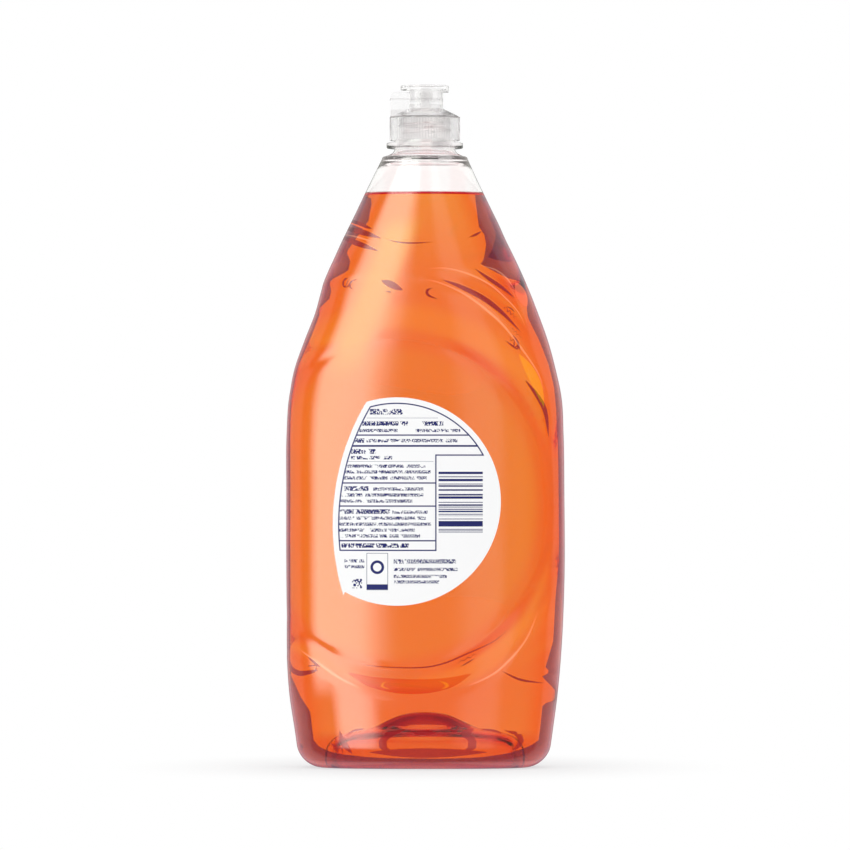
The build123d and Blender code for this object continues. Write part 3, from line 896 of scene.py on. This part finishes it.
def clear_bottle_finish():
    """Clear plastic, with painted shade and painted light, as tints and a faint glow, for the side bands, the
    strokes and the highlight.
    """
    finish = Finish("clear_bottle")
    x, y, z = finish.place()
    radius = finish.length(x, y)
    facing = finish.facing()
    past_panel = finish.mark("past_panel")
    full = 1 - finish.soft_step(z, FILL_LEVEL - 0.8, FILL_LEVEL)
    # painted shade: a dark red line round the wall at the fill line, with a faint painted glow
    surface = finish.hump(z, *FILL_LINE)

    # Painted shade: dark bands down both sides, from where the mesh says that they start out to the edge,
    # each with a painted glow
    start = finish.mark("band_start")
    inside = finish.soft_step(facing - start, 0.0, 0.012) * full
    outward = finish.soft_step((facing - start) / (1.02 - start), 0.0, 0.9)
    band = finish.mix(outward, (0.10, 0.045, 0.40, 1), (0.27, 0.16, 0.60, 1))
    band_glow = finish.mix(outward, (0.040, 0.010, 0.018, 1), (0.14, 0.078, 0.108, 1))

    # Painted shade and painted light: what is darker or lighter than its surroundings
    # painted shade: a deeper orange towards the edges
    deep_edge_shade = finish.soft_step(facing, 0.015, 0.28) * full
    # painted shade in the groove past the panel's right edge
    groove_shade = finish.hump(past_panel, *GROOVE_SHADE_BAND) * finish.soft_step(x, *GROOVE_SIDE) * full
    # painted shade, darker towards the bottom of the heel
    heel_shade = 1 - finish.soft_step(z, *HEEL_SHADE)
    # painted shade over the base, with a red painted glow
    base = finish.most(stroke(finish, "base_shade_patch"), stroke(finish, "base_shade_line"))
    # painted shade in dark strokes, with a faint painted glow
    dark = finish.most(stroke(finish, "dark_shade_stroke"), stroke(finish, "shade_streak"))
    # painted light in warm glowing strokes
    warm_glow = stroke(finish, "warm_glow_stroke")
    # painted shade: grey on the neck's support ring, dark red on the thread, dark arcs at the collar
    ring = finish.hump(z, *RING_SHADE) * finish.soft_step(radius, *RING_FACE)
    thread = finish.hump(finish.mark("thread"), 0.25, 0.45, 0.60, 0.80)
    # painted light: faint pink stripes in the clear headspace
    blush = finish.humps(x, BLUSHES) * (1 - full)
    collar_shade = finish.hump(z, *COLLAR_SHADE_ARC) * (1 - finish.soft_step(radius, *COLLAR_FACE))
    tint = finish.painted((0.985, 0.98, 0.975, 1), [
        (deep_edge_shade, (0.98, 0.56, 0.32, 1)),
        (groove_shade * 0.75, (0.93, 0.52, 0.45, 1)),
        (heel_shade, (0.97, 0.64, 0.56, 1)),
        (inside, band),
        (base, (0.10, 0.03, 0.10, 1)),
        # painted shade in dark red strokes
        (stroke(finish, "red_shade_stroke") * 0.9, (0.80, 0.17, 0.28, 1)),
        (dark, (0.15, 0.035, 0.12, 1)),
        (warm_glow, (0.25, 0.10, 0.05, 1)),
        (ring, (0.62, 0.59, 0.60, 1)),
        (thread, (0.22, 0.07, 0.08, 1)),
        (blush, (0.985, 0.955, 0.95, 1)),
        (collar_shade, (0.30, 0.05, 0.07, 1)),
        (surface, (0.70, 0.025, 0.07, 1)),
    ])

    # Painted light: a glow that sets their colours right
    # painted light on the panel, between the panel and the sweep, and in the highlight
    panel = (1 - finish.soft_step(past_panel, *PANEL_GLOW)) * (1 - inside)
    short_of_sweep = 1 - finish.soft_step(finish.mark("past_sweep"), *BETWEEN_SWEEP)
    between = finish.hump(past_panel, *BETWEEN_PANEL) * short_of_sweep * (1 - inside)
    aside = x - SHINE_PLACE[0] + SHINE_SLOPE * (SHINE_PLACE[1] - z)
    shine = finish.hump(aside, *SHINE_WIDTH) * finish.hump(z, *SHINE_HEIGHTS)
    glow = finish.painted((0, 0, 0, 1), [
        (inside, band_glow),
        (finish.hump(z, *HEADSPACE), (0.028, 0.026, 0.025, 1)),
        (finish.hump(z, *CROWN), (0.07, 0.062, 0.062, 1)),
        (panel, (0.0, 0.030, 0.0, 1)),
        (between, (0.02, 0.035, 0.0, 1)),
        (shine, (0.0, 0.055, 0.010, 1)),
        (base, (0.20, 0.016, 0.018, 1)),
        (dark, (0.045, 0.006, 0.022, 1)),
        (warm_glow, (0.58, 0.10, 0.04, 1)),
        # painted highlights and painted golden light
        (stroke(finish, "light_fold"), (0.26, 0.14, 0.10, 1)),
        (stroke(finish, "gold_glow_stroke"), (0.12, 0.13, 0.0, 1)),
        (surface, (0.12, 0.0, 0.008, 1)),
    ])
    ripple = finish.noise(60, 2.0, (1, 1, 0.4))
    finish.shader(
        base_color=tint,
        roughness=0.0,
        ior=1.5,
        transmission_weight=1.0,
        emission_color=glow,
        emission_strength=1.0,
        normal=finish.bump(ripple, 0.00003),
    )
    return finish.material


def soap_finish():
    """Clear orange soap, which takes more blue out of the light the deeper it goes."""
    finish = Finish("orange_soap")
    finish.shader(
        base_color=(1, 1, 1, 1),
        roughness=0.0,
        ior=1.36,
        transmission_weight=1.0,
        specular_tint=(0, 0, 0, 1),
    )
    absorb = finish.node(
        "ShaderNodeVolumeAbsorption", sockets={"Color": SOAP_COLOUR, "Density": SOAP_DENSITY}
    )
    finish.put(finish.output.inputs["Volume"], absorb.outputs[0])
    return finish.material


def circle_through(points):
    """Centre and radius of the circle through three points."""
    (ax, ay), (bx, by), (cx, cy) = points
    turn = 2 * (ax * (by - cy) + bx * (cy - ay) + cx * (ay - by))
    a, b, c = ax * ax + ay * ay, bx * bx + by * by, cx * cx + cy * cy
    x = (a * (by - cy) + b * (cy - ay) + c * (ay - by)) / turn
    y = (a * (cx - bx) + b * (ax - cx) + c * (bx - ax)) / turn
    return (x, y), math.hypot(ax - x, ay - y)


def past_bar(finish, x, z, bar):
    """How far outside a bar a place is, and less than 0 inside it."""
    left, right, middle, thickness = bar
    aside = finish.size(x - (left + right) / 2) - (right - left) / 2
    return finish.most(aside, finish.size(z - middle) - thickness / 2)


def past_bars(finish, x, z, bars):
    nearest = past_bar(finish, x, z, bars[0])
    for bar in bars[1:]:
        nearest = finish.least(nearest, past_bar(finish, x, z, bar))
    return nearest


def filled(finish, past):
    """1 inside an edge, 0 outside it."""
    return 1 - finish.soft_step(past, -0.06, 0.06)


def label_print(finish, x, z):
    """The frame, rules, rows of marks, stripes and the ring in its box, as 1 where there is ink."""
    (cut_x, cut_z), cut_radius = circle_through(LABEL_CUT)
    across, up = x - LABEL_CENTRE[0], z - LABEL_CENTRE[1]
    to_rim = LABEL_RADIUS - FRAME_MARGIN - finish.length(across, up)
    to_cut = cut_radius - FRAME_MARGIN - finish.length(across - cut_x, up - cut_z)
    to_step = finish.most(FRAME_STEP[0] - x, z - FRAME_STEP[1])
    within = finish.least(finish.least(to_rim, to_cut), finish.least(z - FRAME_FOOT, to_step))
    lines = finish.size(within) - FRAME_LINE
    rules = finish.most(past_bars(finish, x, z, RULES), -1 * within)
    box = finish.size(past_bar(finish, x, z, SYMBOL_BOX)) - SYMBOL_EDGE
    ring = finish.length(x - SYMBOL_CENTRE[0], z - SYMBOL_CENTRE[1])
    ring = finish.size(ring - SYMBOL_RADIUS) - SYMBOL_LINE
    solid = finish.least(finish.least(lines, rules), finish.least(box, ring))
    solid = finish.least(solid, past_bar(finish, x, z, SYMBOL_FOOT))
    ink = filled(finish, solid)
    words = finish.soft_step(finish.noise(430, 0.0), 0.33, 0.36)
    bold = words * finish.soft_step(finish.noise(2300, 0.0, MARK_STRETCH), 0.38, 0.46)
    fine = words * finish.soft_step(finish.noise(3000, 0.0, MARK_STRETCH), 0.40, 0.52)
    ink = finish.most(ink, bold * filled(finish, past_bars(finish, x, z, HEADINGS)))
    ink = finish.most(ink, fine * filled(finish, past_bars(finish, x, z, TEXT_LINES)))
    bars = finish.soft_step(finish.chance(z / BAR_PITCH), 0.42, 0.50)
    bars = bars * filled(finish, past_bar(finish, x, z, BAR_FIELD))
    cell = finish.math("FLOOR", x / CODE_CELL) + CODE_STRIDE * finish.math("FLOOR", z / CODE_CELL)
    code = finish.soft_step(finish.chance(cell), 0.45, 0.50)
    code = code * filled(finish, past_bar(finish, x, z, CODE_FIELD))
    return finish.most(ink, finish.most(bars, code))


def label_finish():
    """White film with dark blue print."""
    finish = Finish("label_film")
    grain = finish.noise(900, 2.0)
    x, _, z = finish.place()
    paper = finish.mix(finish.noise(35), (0.96, 0.96, 0.96, 1), (0.94, 0.94, 0.95, 1))
    outward = finish.split(finish.node("ShaderNodeNewGeometry").outputs["Normal"])[1]
    printed = 1 - finish.soft_step(outward, -0.4, -0.2)
    ink = label_print(finish, x, z) * printed
    tone = finish.mix(ink, paper, (0.012, 0.016, 0.12, 1))
    # painted light: the unprinted back of the label glows, standing in for light through the film
    lit_through = finish.mix(printed, (0.30, 0.30, 0.30, 1), (0, 0, 0, 1))
    finish.shader(
        base_color=tone,
        roughness=0.55,
        ior=1.3,
        emission_color=lit_through,
        emission_strength=1.0,
        normal=finish.bump(grain, 0.00001),
    )
    return finish.material


def closure_finish():
    """Clear moulded plastic, with painted shade on its edges, skirt, cone and hinge tower, and a faint
    painted glow.
    """
    finish = Finish("clear_closure")
    x, y, z = finish.place()
    radius = finish.length(x, y)
    # painted shade: darker edges, grey stripes round the skirt, grey on the cone and the hinge tower's bands,
    # and a dark line at the skirt's edge
    edge = finish.soft_step(finish.facing(), 0.45, 0.95)
    skirt = (1 - finish.soft_step(z, *SKIRT_HEIGHT)) * finish.soft_step(radius, *SKIRT_FACE)
    turn = finish.math("ARCTAN2", y, x)
    shade_stripes = finish.soft_step(finish.math("SINE", turn * SKIRT_SHADE_STRIPES), -0.3, 0.6)
    cone = finish.hump(z, *CONE) * finish.soft_step(radius, *CONE_FACE)
    skirt_edge = finish.hump(z, *SKIRT_EDGE) * finish.soft_step(radius, *SKIRT_EDGE_FACE)
    bands = finish.humps(x, CHIMNEY_BANDS) * finish.soft_step(z, *CHIMNEY_FOOT)
    parting = finish.hump(z, *PARTING_LINE)
    tint = finish.painted((1.0, 0.998, 0.996, 1), [
        (edge, (0.90, 0.885, 0.88, 1)),
        (shade_stripes * skirt, (0.78, 0.765, 0.77, 1)),
        (cone * 0.7, (0.84, 0.82, 0.82, 1)),
        (skirt_edge, (0.30, 0.28, 0.28, 1)),
        (bands * 0.45, (0.84, 0.83, 0.83, 1)),
        (parting * 0.6, (0.55, 0.53, 0.53, 1)),
    ])
    frost = finish.noise(1400, 2.0)
    finish.shader(
        base_color=tint,
        roughness=0.01 + 0.02 * skirt,
        ior=1.24,
        transmission_weight=0.82,
        # painted light: a faint even glow on the clear plastic
        emission_color=(1.0, 0.985, 0.975, 1),
        emission_strength=0.035,
        normal=finish.bump(frost, 0.000001),
    )
    return finish.material


def floor_finish():
    """Pale near the object, where its shadow falls, and plain white further off."""
    finish = Finish("pale_floor")
    x, y, _ = finish.place()
    whiteness = 0.62 + 0.38 * finish.soft_step(finish.length(x, y), *SHADOW_REACH)
    near = finish.node("ShaderNodeBsdfDiffuse", sockets={"Color": (0.96, 0.96, 0.96, 1)})
    white = finish.node("ShaderNodeEmission", sockets={"Color": (1, 1, 1, 1), "Strength": 1.0})
    blend = finish.node("ShaderNodeMixShader", sockets={0: whiteness})
    finish.put(blend.inputs[1], near.outputs[0])
    finish.put(blend.inputs[2], white.outputs[0])
    clear = finish.node("ShaderNodeBsdfTransparent")
    mirrored = finish.path("Is Glossy Ray") * (1 - finish.path("Is Transmission Ray"))
    shown = finish.node("ShaderNodeMixShader", sockets={0: mirrored})
    finish.put(shown.inputs[1], blend.outputs[0])
    finish.put(shown.inputs[2], clear.outputs[0])
    finish.put(finish.output.inputs["Surface"], shown.outputs[0])
    return finish.material


def paint(piece, *materials):
    piece.data.materials.clear()
    for material in materials:
        piece.data.materials.append(material)


def set_stage():
    bpy.ops.mesh.primitive_plane_add(size=FLOOR_SIZE, location=(0, 0, 0))
    floor = bpy.context.object
    floor.name = "floor"
    paint(floor, floor_finish())
    floor.select_set(False)


def set_world():
    """A white backdrop all round; soft boxes and a dark patch behind that only reflections show."""
    world = bpy.data.worlds.new("studio")
    bpy.context.scene.world = world
    world.use_nodes = True
    nodes = Nodes(world.node_tree, "ShaderNodeOutputWorld")
    x, y, z = nodes.split(nodes.coordinate("Generated"))
    turn = nodes.math("ARCTAN2", nodes.size(x), nodes.size(y))
    front = 1 - nodes.soft_step(y, -0.1, 0.1)
    to_right = nodes.soft_step(x, *BOX_SIDE)
    ends = nodes.soft_step(turn, *OUTER_PART_TURNS) + (1 - nodes.soft_step(turn, *INNER_PART_TURNS))
    narrow = 1 - ends * nodes.soft_step(-1 * z, *NARROW_DEPTH)
    left_box = nodes.hump(turn, *LEFT_BOX_TURNS) * (1 - to_right) * narrow
    right_box = nodes.hump(turn, *RIGHT_BOX_TURNS) * to_right
    flag = (1 - nodes.soft_step(turn, *FLAG_TURNS)) * (1 - front)
    room = (BACK_OF_ROOM + (DARK_ROOM - BACK_OF_ROOM) * front) * (1 - FLAG_SHARE * flag)
    boxes = nodes.hump(z, *BOX_HEIGHTS) * (LEFT_BOX * left_box + RIGHT_BOX * right_box)
    mirrored = room + front * boxes
    passing = 1 - (1 - BACKDROP_EDGE) * nodes.hump(turn, *BACKDROP_EDGE_TURNS)
    seen = nodes.path("Is Camera Ray")
    through = nodes.path("Is Transmission Ray")
    gloss = nodes.path("Is Glossy Ray") * (1 - through)
    plain = (1 - seen) * (1 - through) * (1 - gloss)
    strength = seen + through * passing + gloss * mirrored + plain * ROOM_LIGHT
    colour = nodes.mix(gloss, (1, 1, 1, 1), BOX_TINT)
    background = nodes.node("ShaderNodeBackground", sockets={"Color": colour, "Strength": strength})
    nodes.put(nodes.output.inputs["Surface"], background.outputs[0])


def set_lamps():
    """Two soft lamps in front, one each side, that reflections don't show."""
    for name, place, power, width, height in LAMPS:
        lamp = bpy.data.lights.new(name, "AREA")
        lamp.shape = "RECTANGLE"
        lamp.size = width
        lamp.size_y = height
        lamp.energy = power
        holder = bpy.data.objects.new(name, lamp)
        bpy.context.scene.collection.objects.link(holder)
        holder.location = place
        holder.visible_glossy = False
        holder.visible_transmission = False
        aim = LAMP_AIM - holder.location
        holder.rotation_mode = "QUATERNION"
        holder.rotation_quaternion = aim.to_track_quat("-Z", "Y")


def set_camera():
    lens = bpy.data.cameras.new("camera")
    camera = bpy.data.objects.new("camera", lens)
    bpy.context.scene.collection.objects.link(camera)
    bpy.context.scene.camera = camera
    frame_width = IMAGE_SIZE * MM_PER_PIXEL * MM
    lens.sensor_width = SENSOR_WIDTH
    lens.lens = lens.sensor_width * CAMERA_DISTANCE / frame_width
    camera.location = (0, -CAMERA_DISTANCE, CAMERA_HEIGHT)
    camera.rotation_euler = (math.pi / 2, 0, 0)
    middle = IMAGE_SIZE / 2
    lens.shift_x = (middle - AXIS_PIXEL) / IMAGE_SIZE
    middle_height = (FOOT_PIXEL - middle) * MM_PER_PIXEL * MM
    lens.shift_y = (middle_height - CAMERA_HEIGHT) / frame_width


bpy.context.scene.view_settings.view_transform = "Standard"
bpy.context.scene.cycles.max_bounces = LIGHT_BOUNCES
bpy.context.scene.cycles.transmission_bounces = LIGHT_BOUNCES
set_camera()
set_stage()
set_world()
set_lamps()

bottle = bottle_piece()
paint(bottle, clear_bottle_finish(), wetted_wall_finish())
soap = liquid_piece()
paint(soap, soap_finish())
paint(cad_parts["back_label"], label_finish())
closure = closure_finish()
for node in ("cap_base", "flip_lid"):
    paint(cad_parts[node], closure)
